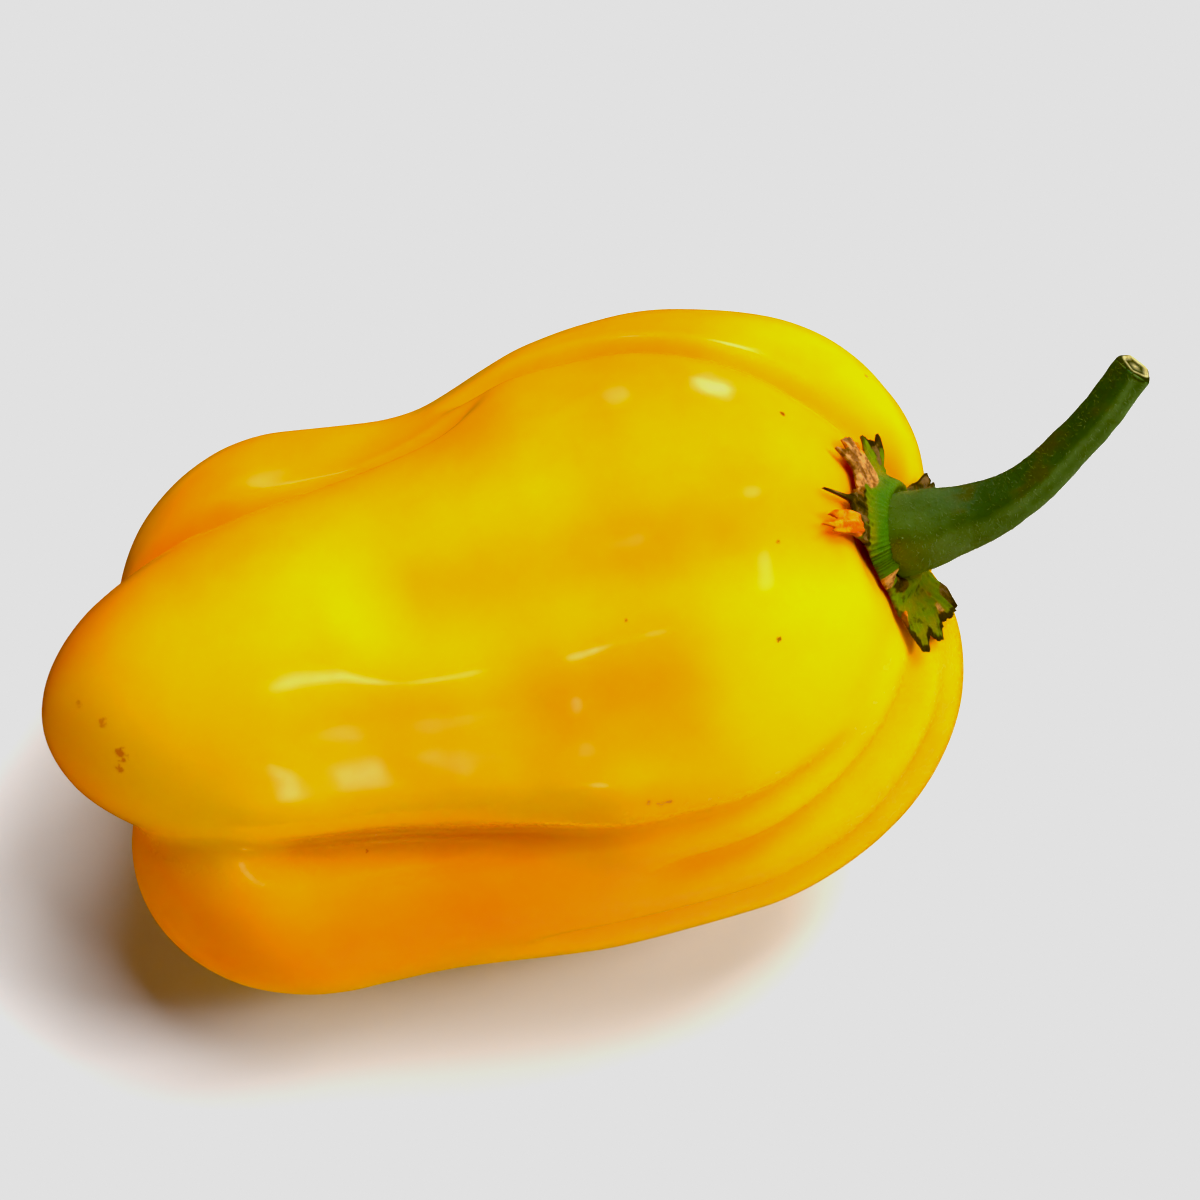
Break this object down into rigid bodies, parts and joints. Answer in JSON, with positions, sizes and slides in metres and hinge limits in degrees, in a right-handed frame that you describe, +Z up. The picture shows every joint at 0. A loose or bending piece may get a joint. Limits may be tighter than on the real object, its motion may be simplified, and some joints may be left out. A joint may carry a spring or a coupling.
{
  "type": "chilli pepper",
  "caption": "Ripe yellow lantern-type chilli pepper lying on its side: a lobed, furrowed pod with a torn dried calyx and a short bent stem.",
  "frame": {"origin": "on the surface that the pepper lies on, under the middle of its box", "axes": "+X along the pod from its blossom end to its stem, +Y to its back, +Z up"},
  "size_m": [0.0792, 0.0444, 0.0446],
  "materials": {
    "skin": "waxy gloss",
    "calyx": "dry, matt",
    "stem": "satin"
  },
  "bodies": {
    "root": {"pod": "skin", "calyx": "calyx", "stem": "stem"}
  },
  "joints": []
}
